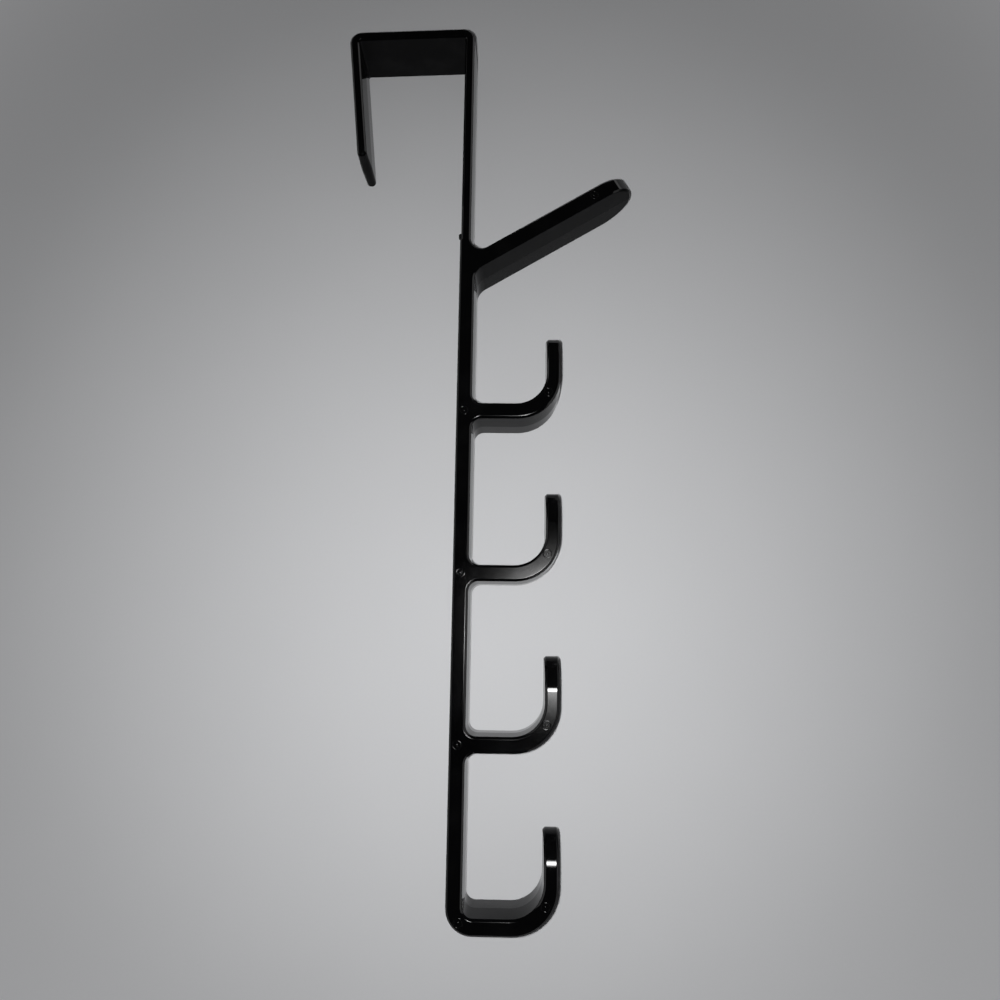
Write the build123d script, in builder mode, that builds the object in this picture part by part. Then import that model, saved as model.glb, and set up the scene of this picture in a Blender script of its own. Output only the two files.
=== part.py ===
from build123d import *
from math import cos, radians, sin, tan
import os

# Over-door hook, moulded in one piece: a clip over the door, a slanted peg and a column of J-shaped hooks.
# X points away from the door, Y runs across the blade and Z is up.
# The origin lies in the plane of the door face, level with the underside of the bridge, at mid-width.

# Blade, in millimetres and degrees
# The mould parts at mid-width, so the walls slope in from there to both faces, where these sizes hold
width = 26.5
draft_angle = 1.5
edge_break = 0.8

# Door clip
door_gap = 44.8
clip_wall = 3.85
clip_corner = 1.0
bridge_droop = 2.0
leg_length = 52.4
leg_lean = 5.6
leg_end_flat = 0.2

# Spine, thin and clear of the door above the shoulder, thick and against the door below it
relief_clear = 0.05
shoulder_rise = 7.7
spine_wall = 6.0
heel_radius = 9.5

# Peg
peg_drop = 97.2
peg_length = 73.0
peg_wall = 6.15
peg_angle = 30.8
peg_crook_radius = 4.5
peg_underside_radius = 7.0

# Hooks
hook_count = 4
hook_pitch = 63.5
first_hook_drop = 158.2
hook_mouth = 29.4
hook_rise = 29.15
hook_wall = 6.1
tip_wall = 5.4
bend_inside = 12.2
bend_outside = 17.0
root_radius = 4.0

# The free ends are half round across the blade, but for a short flat at the very tip
end_flat = 0.5

# Ejector pin marks, which stand just proud of one face, and the stub of the gate just above the shoulder
mark_diameter = 3.6
mark_height = 0.12
bend_mark_angle = 31.0
peg_mark_inset = 16.9
gate_length = 2.4
gate_width = 1.6
gate_height = 1.05
gate_taper = 18.0
gate_inset = 2.6

# Places that follow from the sizes
back_relief = width / 2 * tan(radians(draft_angle)) + relief_clear
thin_front = back_relief + clip_wall
shoulder = shoulder_rise - peg_drop
tip_inside = spine_wall + hook_mouth
tip_outside = tip_inside + tip_wall
end_radius = (width - end_flat) / 2
leg_end_radius = (clip_wall - leg_end_flat) / 2
hook_tops = [-first_hook_drop - number * hook_pitch for number in range(hook_count)]
foot = hook_tops[-1] - hook_wall


def heading(angle):
    """Unit vector in the side view, at an angle in degrees up from straight out of the door."""
    return Vector(cos(radians(angle)), sin(radians(angle)))


bridge_front = Vector(back_relief, 0)
bridge_back = bridge_front - heading(bridge_droop) * door_gap
leg_end = bridge_back + heading(leg_lean - 90) * leg_length
leg_end_outside = leg_end + heading(leg_lean - 180) * clip_wall
thin_foot = Vector(back_relief, -peg_drop)

peg_root = Vector(thin_front, -peg_drop)
peg_tip = peg_root + heading(peg_angle) * peg_length
peg_depth = heading(peg_angle - 90) * peg_wall
peg_across = Axis((0, 0, 0), (peg_depth.X, 0, peg_depth.Y))

bend_centre = Vector(tip_inside - bend_inside, bend_inside)
bend_mark = bend_centre + heading(-bend_mark_angle) * (bend_inside + tip_wall / 2)
root_mark = Vector(spine_wall, -hook_wall) / 2
heel_mark = Vector(heel_radius, foot + heel_radius) + heading(225) * ((heel_radius + root_radius) / 2)
peg_mark = peg_tip - heading(peg_angle) * peg_mark_inset + peg_depth / 2
marks = [peg_mark, heel_mark]
marks += [Vector(0, top) + bend_mark for top in hook_tops]
marks += [Vector(0, top) + root_mark for top in hook_tops[:-1]]


def peg_underside(x):
    """The place on the peg's lower face at a distance from the door."""
    start = peg_root + peg_depth
    return start + heading(peg_angle) * ((x - start.X) / cos(radians(peg_angle)))


def face_edges(blade):
    """The edges round the blade's outer face."""
    return blade.faces().sort_by(Axis.Y)[0].edges()


def end_edges(edges):
    """The straight edges across the wall at the hook tips and at the peg's free end."""
    tips = edges.filter_by(Axis.X).filter_by_position(Axis.X, tip_inside, tip_outside)
    return tips + edges.filter_by(peg_across)


blade_face = Plane.XZ.offset(width / 2)

with BuildPart() as hook:
    with BuildSketch(blade_face) as side_view:
        # Clip and thin spine, one wall folded round the door
        with BuildLine():
            door_side = FilletPolyline(leg_end, bridge_back, bridge_front, thin_foot, radius=clip_corner)
            offset(door_side, amount=clip_wall, side=Side.LEFT)
        make_face()

        # Thick spine, with its shoulder above the peg's root
        with BuildLine():
            Polyline(
                (0, foot),
                (spine_wall, foot),
                (spine_wall, -peg_drop),
                (thin_front, -peg_drop),
                (thin_front, shoulder),
                (0, shoulder),
                close=True,
            )
        make_face()

        # Peg
        with BuildLine():
            Polyline(peg_root, peg_tip, peg_tip + peg_depth, peg_underside(spine_wall / 2), close=True)
        make_face()

        # Hooks
        for top in hook_tops:
            with BuildLine():
                Polyline(
                    (spine_wall / 2, top - hook_wall),
                    (tip_outside, top - hook_wall),
                    (tip_outside, top + hook_rise),
                    (tip_inside, top + hook_rise),
                    (tip_inside, top),
                    (spine_wall / 2, top),
                    close=True,
                )
            make_face()

        # Rounded corners of the side view
        def corner(place):
            """The corner of the side view nearest to a place."""
            return side_view.vertices().sort_by_distance(place)[0]

        for top in hook_tops:
            fillet(corner((tip_inside, top)), radius=bend_inside)
            fillet(corner((tip_outside, top - hook_wall)), radius=bend_outside)
            fillet(corner((spine_wall, top)), radius=root_radius)
        for top in hook_tops[:-1]:
            fillet(corner((spine_wall, top - hook_wall)), radius=root_radius)
        fillet(corner(peg_root), radius=peg_crook_radius)
        fillet(corner(peg_underside(spine_wall)), radius=peg_underside_radius)
        fillet([corner(leg_end), corner(leg_end_outside)], radius=leg_end_radius)

    # Half of the blade, from its face to the parting plane, drafted but for the back that lies on the door
    extrude(amount=-width / 2)
    walls = hook.faces().filter_by(Axis.Y, reverse=True)
    back = walls.filter_by(Axis.X).sort_by_distance((0, 0, foot))[:1]
    draft(walls - back, neutral_plane=blade_face, angle=draft_angle)
    fillet(hook.edges().sort_by_distance((0, -width / 4, foot))[0], radius=heel_radius)

    # Free ends and broken edges, and then the other half
    fillet(end_edges(face_edges(hook)), radius=end_radius)
    chamfer(face_edges(hook) - end_edges(face_edges(hook)), length=edge_break)
    mirror(about=Plane.XZ)

    # Ejector pin marks on one face of the blade
    with BuildSketch(blade_face):
        with Locations(*marks):
            Circle(mark_diameter / 2)
    extrude(amount=mark_height)

    # Stub of the gate on the back
    with BuildSketch(Plane.YZ.offset(back_relief)):
        with Locations((gate_inset - width / 2, shoulder + gate_length / 2)):
            Rectangle(gate_width, gate_length)
    extrude(amount=-gate_height, taper=gate_taper)

hook.part.label = "over_door_hook"

os.makedirs("parts", exist_ok=True)
export_step(hook.part, "parts/over_door_hook.step")
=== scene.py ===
from math import pi, radians

import bmesh
import bpy
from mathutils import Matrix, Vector


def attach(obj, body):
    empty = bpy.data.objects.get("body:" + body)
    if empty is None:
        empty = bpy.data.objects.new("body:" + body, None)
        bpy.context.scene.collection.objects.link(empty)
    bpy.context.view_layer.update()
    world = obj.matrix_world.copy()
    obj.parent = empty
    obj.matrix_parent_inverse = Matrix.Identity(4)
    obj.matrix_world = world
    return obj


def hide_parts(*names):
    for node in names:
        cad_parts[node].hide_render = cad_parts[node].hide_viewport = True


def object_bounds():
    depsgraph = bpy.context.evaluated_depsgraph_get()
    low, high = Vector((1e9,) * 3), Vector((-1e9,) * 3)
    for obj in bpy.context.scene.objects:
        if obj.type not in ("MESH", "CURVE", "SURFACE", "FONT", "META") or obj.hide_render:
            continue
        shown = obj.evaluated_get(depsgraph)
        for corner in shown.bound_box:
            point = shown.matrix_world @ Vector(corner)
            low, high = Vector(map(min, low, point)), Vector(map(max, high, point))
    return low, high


# Over-door hook in black plastic, lying on a pale sheet and lit by a lamp beside the camera above it.
# The part hangs along Z, so the sheet that it lies on stands upright, just behind its far face.
# Lengths are in metres, and tints are red, green, blue and alpha.

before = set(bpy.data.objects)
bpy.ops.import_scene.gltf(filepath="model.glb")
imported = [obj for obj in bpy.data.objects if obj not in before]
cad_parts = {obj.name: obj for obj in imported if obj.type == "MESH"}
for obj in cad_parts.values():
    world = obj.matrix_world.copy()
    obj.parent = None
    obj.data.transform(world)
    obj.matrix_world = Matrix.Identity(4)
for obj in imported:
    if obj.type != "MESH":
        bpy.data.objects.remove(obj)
cad_low, cad_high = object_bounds()
scene = bpy.context.scene
scene.view_settings.view_transform = "Standard"
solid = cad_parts["over_door_hook"]

# Turn about X that makes what stood up along Z stand out of the near face, and a lamp shine at the sheet
quarter_turn = (pi / 2, 0, 0)

# Camera, turned in degrees about X, Y and Z, with its lens and sensor in millimetres
camera_place = Vector((0.02603, -0.35273, -0.25075))
camera_turn = (99.045, -0.820, 1.285)
camera_lens = 32.23
camera_sensor = 36.0
camera_nearest = 0.01

# Moulded edges: the solid's edges are broken at about 45 degrees, and are rounded here
merge_gap = 1e-6
flat_angle = radians(0.1)
broken_angles = (radians(30), radians(62))
edge_setback = 0.00048
edge_segments = 4
edge_profile = 0.5
parting_gap = 1e-6

# Ejector pin marks on the near face: a rounded rim about a shallow dish, with a dot in its middle
mark_height = 0.00012
mark_reach = 0.004
rim_radius = 0.00157
rim_half_width = 0.00021
rim_sides = 64
rim_section_sides = 32
dish_height = 0.00003
dot_radius = 0.00042
dot_segments = 32
dot_rings = 16

# Noise on the surfaces: its features to a metre and its levels of finer detail
smear_noise = (70.0, 4.0)
ripple_noise = (260.0, 1.0)
grain_noise = (2600.0, 2.0)
fibre_noise = (900.0, 3.0)
mottle_noise = (25.0, 3.0)
noise_roughness = 0.55

# Black plastic: the tints of its faces, and the lighter tints of its walls that are painted sheen, each
# from clean to smeared
deep_tints = ((0.0013, 0.0013, 0.0015, 1), (0.0026, 0.0026, 0.0028, 1))
wall_sheen_tints = ((0.011, 0.011, 0.0115, 1), (0.015, 0.015, 0.0155, 1))
smear_range = (0.45, 0.70)

# How far a surface faces out of the blade where the walls' painted sheen tint turns deep, and where satin
# turns to polish
wall_sheen_facing = (0.15, 0.50)
polished_facing = (0.50, 0.80)

# Roughness of the polished and the satin finish, what smears and dull marks add, and how well both mirror
polished_roughness = 0.065
polished_smear = 0.035
polished_dull = 0.03
polished_mirror = 0.5
satin_roughness = 0.06
satin_smear = 0.03
satin_mirror = 0.015
dull_attribute = "dull"

# Ripples of the moulded surface, with a share of finer grain
grain_share = 0.10
ripple_strength = 0.06
ripple_height = 0.0001

# Matt finish of the sheet and the card
matt_finish = {"Roughness": 0.9, "Specular IOR Level": 0.0}

# Sheet that the part lies on, which lets very short rays through, so that light reaches the part's far face
sheet_gap = 0.00005
sheet_size = (12.0, 12.0)
sheet_tints = ((0.71295, 0.7178, 0.73235, 1), (0.75705, 0.7622, 0.77765, 1))
short_ray = 0.00025

# Far from the part the sheet gives off a little light, so that it stays pale there
far_reach = (0.21, 0.46)
far_light = (0.25, 0.25, 0.256, 1)
no_light = (0, 0, 0, 1)

# World, as it lights matt surfaces and as it is seen and mirrored
world_tint = (1, 1, 1, 1)
world_light = 0.04
world_seen = 0.70

# Dark card round the camera that the near face mirrors
card_size = (3.0, 30.0)
card_behind = 0.006
card_tint = (0.01, 0.01, 0.01, 1)

# Lamp beside the camera
lamp_offset = Vector((-0.011, 0.0, 0.0))
lamp_radius = 0.005
lamp_watts = 0.66
lamp_spread = radians(150)

# Soft lamps high up on both sides, behind the sheet, which only light the walls of the part
side_places = {"left_lamp": (-0.66, 0.35, 0.66), "right_lamp": (0.66, 0.35, 0.66)}
side_strength = 4.0
side_softness = radians(40)

# Glow beside the camera that fades outwards and shows only as a reflection in the plastic
glow_offset = Vector((0.032, -0.003, 0.008))
glow_size = (0.20, 0.20)
glow_peak = 72.0
glow_spread = 0.0209


class Flow:
    """One socket of a node tree, so that maths on its values is written as plain expressions."""

    # A mix node has sockets of the same name for each kind of data, so those for colours go by number
    mix_factor = 0
    mix_low = 6
    mix_high = 7
    mix_result = 2

    def __init__(self, tree, socket=None):
        self.tree = tree
        self.socket = socket

    def node(self, kind, settings=None, sockets=None, out=0):
        """Add a node, with its settings made first and then its sockets set or linked."""
        made = self.tree.nodes.new(kind)
        for name, value in (settings or {}).items():
            setattr(made, name, value)
        for name, value in (sockets or {}).items():
            if isinstance(value, Flow):
                self.tree.links.new(value.socket, made.inputs[name])
            else:
                made.inputs[name].default_value = value
        if made.outputs:
            return Flow(self.tree, made.outputs[out])

    def math(self, operation, left, right):
        """Add a node for one sum."""
        return self.node("ShaderNodeMath", {"operation": operation}, {0: left, 1: right})

    def __add__(self, other):
        return self.math("ADD", self, other)

    def __radd__(self, other):
        return self.math("ADD", other, self)

    def __mul__(self, other):
        return self.math("MULTIPLY", self, other)

    def __rmul__(self, other):
        return self.math("MULTIPLY", other, self)

    def __truediv__(self, other):
        return self.math("DIVIDE", self, other)

    def __rtruediv__(self, other):
        return self.math("DIVIDE", other, self)

    def __lt__(self, other):
        return self.math("LESS_THAN", self, other)

    def __or__(self, other):
        return self.math("MAXIMUM", self, other)

    def __abs__(self):
        return self.node("ShaderNodeMath", {"operation": "ABSOLUTE"}, {0: self})

    def between(self, low, high):
        """A smooth step from 0 at one value to 1 at another."""
        return self.node(
            "ShaderNodeMapRange",
            {"interpolation_type": "SMOOTHSTEP"},
            {"Value": self, "From Min": low, "From Max": high},
            out="Result",
        )

    def blend(self, low, high):
        """A colour that goes from one to another with the value."""
        sockets = {self.mix_factor: self, self.mix_low: low, self.mix_high: high}
        return self.node("ShaderNodeMix", {"data_type": "RGBA"}, sockets, out=self.mix_result)

    def turn(self, first, second):
        """A shader that turns from one into another with the value."""
        return self.node("ShaderNodeMixShader", sockets={0: self, 1: first, 2: second})


def bare_flow(owner):
    """Switch on the nodes of a material or a world, and give their emptied tree to build on."""
    owner.use_nodes = True
    owner.node_tree.nodes.clear()
    return Flow(owner.node_tree)


def new_material(name):
    """A material, with a flow to build its nodes on."""
    material = bpy.data.materials.new(name)
    return material, bare_flow(material)


def show(flow, shader):
    """Send a shader to the output of its material."""
    flow.node("ShaderNodeOutputMaterial", sockets={"Surface": shader})


def own_place(flow):
    """Where on its own object a surface lies."""
    return flow.node("ShaderNodeTexCoord", out="Object")


def distance(flow, place, middle):
    """How far a place lies from a fixed one."""
    return flow.node("ShaderNodeVectorMath", {"operation": "DISTANCE"}, {0: place, 1: middle}, out="Value")


def noise(flow, place, scale, detail):
    """Even noise with features of about one over the scale, in metres."""
    sockets = {"Vector": place, "Scale": scale, "Detail": detail, "Roughness": noise_roughness}
    return flow.node("ShaderNodeTexNoise", sockets=sockets, out="Fac")


def ray(flow, fact):
    """One fact about the ray that meets a surface."""
    return flow.node("ShaderNodeLightPath", out=fact)


def black_plastic():
    """Black plastic, polished on its faces and edges, satin on its walls with a lighter tint on them as
    painted sheen, and dull on the pin marks.
    """
    material, flow = new_material("black_plastic")
    place = own_place(flow)
    normal = flow.node("ShaderNodeTexCoord", out="Normal")
    facing = abs(flow.node("ShaderNodeSeparateXYZ", sockets={"Vector": normal}, out="Y"))
    dull = flow.node("ShaderNodeAttribute", {"attribute_name": dull_attribute}, out="Fac")

    smear = noise(flow, place, *smear_noise).between(*smear_range)
    deep = smear.blend(*deep_tints)
    # The walls' lighter tint is painted sheen, so that they show from the sides
    wall_sheen = smear.blend(*wall_sheen_tints)
    ripple = noise(flow, place, *ripple_noise) + grain_share * noise(flow, place, *grain_noise)
    bump = flow.node(
        "ShaderNodeBump",
        sockets={"Strength": ripple_strength, "Distance": ripple_height, "Height": ripple},
    )

    polished = flow.node(
        "ShaderNodeBsdfPrincipled",
        sockets={
            "Base Color": deep,
            "Normal": bump,
            "Roughness": polished_roughness + polished_smear * smear + polished_dull * dull,
            "Specular IOR Level": polished_mirror,
        },
    )
    # The satin walls take the painted sheen tint, which turns to the deep tint where a surface faces out of
    # the blade
    satin = flow.node(
        "ShaderNodeBsdfPrincipled",
        sockets={
            "Base Color": facing.between(*wall_sheen_facing).blend(wall_sheen, deep),
            "Normal": bump,
            "Roughness": satin_roughness + satin_smear * smear,
            "Specular IOR Level": satin_mirror,
        },
    )
    show(flow, facing.between(*polished_facing).turn(satin, polished))
    return material


def pale_sheet():
    """Matt pale paper, seen from its front alone, which casts no shadow on the part."""
    material, flow = new_material("pale_sheet")
    place = own_place(flow)
    fibre = (noise(flow, place, *fibre_noise) + noise(flow, place, *mottle_noise)) / 2
    away = distance(flow, place, (cad_low + cad_high) / 2)
    paper = flow.node(
        "ShaderNodeBsdfPrincipled",
        sockets={
            **matt_finish,
            "Base Color": fibre.blend(*sheet_tints),
            "Emission Color": away.between(*far_reach).blend(no_light, far_light),
            "Emission Strength": 1.0,
        },
    )
    clear = flow.node("ShaderNodeBsdfTransparent")
    behind = flow.node("ShaderNodeNewGeometry", out="Backfacing")
    hidden = behind | ray(flow, "Is Shadow Ray") | (ray(flow, "Ray Length") < short_ray)
    show(flow, hidden.turn(paper, clear))

    # The sheet's own light is too faint to count as a lamp
    material.cycles.emission_sampling = "NONE"
    return material


def dark_card():
    """Matt black card."""
    material, flow = new_material("dark_card")
    show(flow, flow.node("ShaderNodeBsdfPrincipled", sockets={**matt_finish, "Base Color": card_tint}))
    return material


def fading_glow():
    """Light that fades evenly from its middle, and is off for rays that came through the sheet."""
    material, flow = new_material("fading_glow")
    spread = distance(flow, own_place(flow), camera_place + glow_offset) / glow_spread
    fade = flow.node("ShaderNodeMath", {"operation": "EXPONENT"}, {0: spread * spread / -2})
    in_front = ray(flow, "Transparent Depth") < 1
    show(flow, flow.node("ShaderNodeEmission", sockets={"Strength": glow_peak * fade * in_front}))
    return material


def add_object(name, data):
    """Put a new object into the scene."""
    thing = bpy.data.objects.new(name, data)
    scene.collection.objects.link(thing)
    return thing


def plain_mesh(thing):
    """The mesh of an object with its modifiers worked in."""
    return bpy.data.meshes.new_from_object(thing.evaluated_get(bpy.context.evaluated_depsgraph_get()))


def mark_middles(points):
    """The middle of each raised disc, from the points on top of all of them."""
    discs = []
    for point in points:
        near = [disc for disc in discs if (disc[0] - point).length < mark_reach]
        if near:
            near[0].append(point)
        else:
            discs.append([point])
    return [sum(disc, Vector()) / len(disc) for disc in discs]


def take_discs_off(work):
    """Take off the plain discs of the solid's pin marks, close the face again and say where they stood."""
    proud = [vert for vert in work.verts if vert.co.y < cad_low.y + mark_height / 2]
    middles = mark_middles([vert.co.copy() for vert in proud])
    bmesh.ops.delete(work, geom=proud, context="VERTS")
    bmesh.ops.holes_fill(work, edges=[edge for edge in work.edges if edge.is_boundary], sides=0)
    return middles


def round_edges(work):
    """Round the broken edges, and leave the parting line crisp."""
    low, high = broken_angles
    broken = [edge for edge in work.edges if low < edge.calc_face_angle_signed(0) < high]
    bmesh.ops.bevel(
        work,
        geom=broken,
        offset=edge_setback,
        offset_type="OFFSET",
        segments=edge_segments,
        profile=edge_profile,
        affect="EDGES",
        clamp_overlap=True,
    )
    for edge in work.edges:
        edge.smooth = any(abs(vert.co.y) > parting_gap for vert in edge.verts)


def moulded_blade(plastic):
    """The solid with its edges rounded off, and the places on it where the pin marks stand."""
    work = bmesh.new()
    work.from_mesh(solid.data)
    bmesh.ops.remove_doubles(work, verts=work.verts, dist=merge_gap)
    middles = take_discs_off(work)
    bmesh.ops.dissolve_limit(work, angle_limit=flat_angle, verts=work.verts, edges=work.edges)
    round_edges(work)
    mesh = bpy.data.meshes.new("moulded_blade")
    work.to_mesh(mesh)
    work.free()
    mesh.shade_smooth()
    mesh.materials.append(plastic)

    blade = add_object("moulded_blade", mesh)
    even = blade.modifiers.new("even_faces", "WEIGHTED_NORMAL")
    even.keep_sharp = True
    finished = plain_mesh(blade)
    blade.modifiers.remove(even)
    blade.data = finished
    return blade, middles


def pin_mark_tree(size_names):
    """Nodes that set a rounded rim, the shallow dish inside it and a dot in its middle on every point."""
    tree = bpy.data.node_groups.new("pin_marks", "GeometryNodeTree")
    sockets = tree.interface
    sockets.new_socket("Points", in_out="INPUT", socket_type="NodeSocketGeometry")
    for name in size_names:
        sockets.new_socket(name, in_out="INPUT", socket_type="NodeSocketFloat")
    sockets.new_socket("Finish", in_out="INPUT", socket_type="NodeSocketMaterial")
    sockets.new_socket("Geometry", in_out="OUTPUT", socket_type="NodeSocketGeometry")
    flow = Flow(tree)

    def given(name):
        """One of the tree's named inputs."""
        return flow.node("NodeGroupInput", out=name)

    def squashed(shape, radius):
        """A round shape pressed flat until it is as tall as the mark."""
        press = flow.node(
            "ShaderNodeCombineXYZ",
            sockets={"X": 1.0, "Y": 1.0, "Z": given("Mark Height") / radius},
        )
        pressed = flow.node("GeometryNodeTransform", sockets={"Geometry": shape, "Scale": press})
        return flow.node("GeometryNodeSetShadeSmooth", sockets={"Geometry": pressed})

    def circle(sides, radius):
        """A round curve with so many sides."""
        sockets = {"Resolution": sides, "Radius": radius}
        return flow.node("GeometryNodeCurvePrimitiveCircle", sockets=sockets)

    ring = flow.node(
        "GeometryNodeCurveToMesh",
        sockets={
            "Curve": circle(rim_sides, given("Rim Radius")),
            "Profile Curve": circle(rim_section_sides, given("Rim Half Width")),
        },
    )
    rim = squashed(ring, given("Rim Half Width"))

    plate = flow.node(
        "GeometryNodeMeshCylinder",
        {"fill_type": "NGON"},
        {"Vertices": rim_sides, "Radius": given("Rim Radius"), "Depth": 2 * given("Dish Height")},
    )
    flat = flow.node("GeometryNodeSetShadeSmooth", sockets={"Geometry": plate, "Shade Smooth": False})
    dish = flow.node(
        "GeometryNodeStoreNamedAttribute",
        {"data_type": "FLOAT", "domain": "POINT"},
        {"Geometry": flat, "Name": dull_attribute, "Value": 1.0},
    )

    ball = flow.node(
        "GeometryNodeMeshUVSphere",
        sockets={"Segments": dot_segments, "Rings": dot_rings, "Radius": given("Dot Radius")},
    )
    dot = squashed(ball, given("Dot Radius"))

    mark = tree.nodes.new("GeometryNodeJoinGeometry")
    for shape in (rim, dish, dot):
        tree.links.new(shape.socket, mark.inputs["Geometry"])
    placed = flow.node(
        "GeometryNodeInstanceOnPoints",
        sockets={
            "Points": given("Points"),
            "Instance": Flow(tree, mark.outputs["Geometry"]),
            "Rotation": quarter_turn,
        },
    )
    real = flow.node("GeometryNodeRealizeInstances", sockets={"Geometry": placed})
    dressed = flow.node("GeometryNodeSetMaterial", sockets={"Geometry": real, "Material": given("Finish")})
    flow.node("NodeGroupOutput", sockets={"Geometry": dressed})
    return tree


def pin_marks(middles, plastic):
    """The marks that the ejector pins left, no taller than the solid's discs."""
    points = bpy.data.meshes.new("pin_mark_points")
    points.from_pydata([(middle.x, cad_low.y + mark_height, middle.z) for middle in middles], [], [])
    marks = add_object("pin_marks", points)
    sizes = {
        "Rim Radius": rim_radius,
        "Rim Half Width": rim_half_width,
        "Dish Height": dish_height,
        "Dot Radius": dot_radius,
        "Mark Height": mark_height,
    }
    nodes = marks.modifiers.new("pin_marks", "NODES")
    nodes.node_group = pin_mark_tree(sizes)
    inputs = {**sizes, "Finish": plastic}
    for item in nodes.node_group.interface.items_tree:
        if item.name in inputs:
            nodes[item.identifier] = inputs[item.name]
    finished = plain_mesh(marks)
    marks.modifiers.remove(nodes)
    marks.data = finished
    return marks


def add_camera():
    """The camera, where the photograph was taken from."""
    camera = add_object("camera", bpy.data.cameras.new("camera"))
    camera.location = camera_place
    camera.rotation_euler = [radians(angle) for angle in camera_turn]
    camera.data.lens = camera_lens
    camera.data.sensor_width = camera_sensor
    camera.data.clip_start = camera_nearest
    scene.camera = camera


def add_lamp(name, kind, energy):
    """A lamp that is neither seen nor mirrored."""
    data = bpy.data.lights.new(name, kind)
    data.energy = energy
    lamp = add_object(name, data)
    lamp.visible_camera = False
    lamp.visible_glossy = False
    return lamp


def add_lamps():
    """The round lamp beside the camera, which shines straight at the sheet, and the soft side lamps."""
    key = add_lamp("key_lamp", "AREA", lamp_watts)
    key.data.shape = "DISK"
    key.data.size = 2 * lamp_radius
    key.data.spread = lamp_spread
    key.location = camera_place + lamp_offset
    key.rotation_euler = quarter_turn
    for name, place in side_places.items():
        side = add_lamp(name, "SUN", side_strength)
        side.data.angle = side_softness
        side.rotation_euler = Vector(place).to_track_quat("Z", "Y").to_euler()


def add_world():
    """An even pale world that gives matt surfaces less light than it shows."""
    world = bpy.data.worlds.new("studio")
    flow = bare_flow(world)
    seen = ray(flow, "Is Camera Ray") | ray(flow, "Is Glossy Ray")
    strength = world_light + (world_seen - world_light) * seen
    sky = flow.node("ShaderNodeBackground", sockets={"Color": world_tint, "Strength": strength})
    flow.node("ShaderNodeOutputWorld", sockets={"Surface": sky})
    scene.world = world


def upright_plane(name, middle, size, material):
    """A flat piece of the stage, parallel to the faces of the part."""
    half_x = size[0] / 2
    half_z = size[1] / 2
    corners = [(-half_x, 0, -half_z), (half_x, 0, -half_z), (half_x, 0, half_z), (-half_x, 0, half_z)]
    mesh = bpy.data.meshes.new(name)
    mesh.from_pydata([Vector(corner) + middle for corner in corners], [], [(0, 1, 2, 3)])
    mesh.materials.append(material)
    plane = add_object(name, mesh)
    return plane


# The stage
add_camera()
add_world()
add_lamps()
upright_plane("sheet", Vector((0, cad_high.y + sheet_gap, 0)), sheet_size, pale_sheet())
card = upright_plane("dark_card", camera_place - Vector((0, card_behind, 0)), card_size, dark_card())
glow = upright_plane("fading_glow", camera_place + glow_offset, glow_size, fading_glow())
for mirrored in (card, glow):
    mirrored.visible_camera = False
    mirrored.visible_diffuse = False
    mirrored.visible_shadow = False

# The part
plastic = black_plastic()
blade, marked_places = moulded_blade(plastic)
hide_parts("over_door_hook")
marks = pin_marks(marked_places, plastic)
for piece in (blade, marks):
    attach(piece, "root")
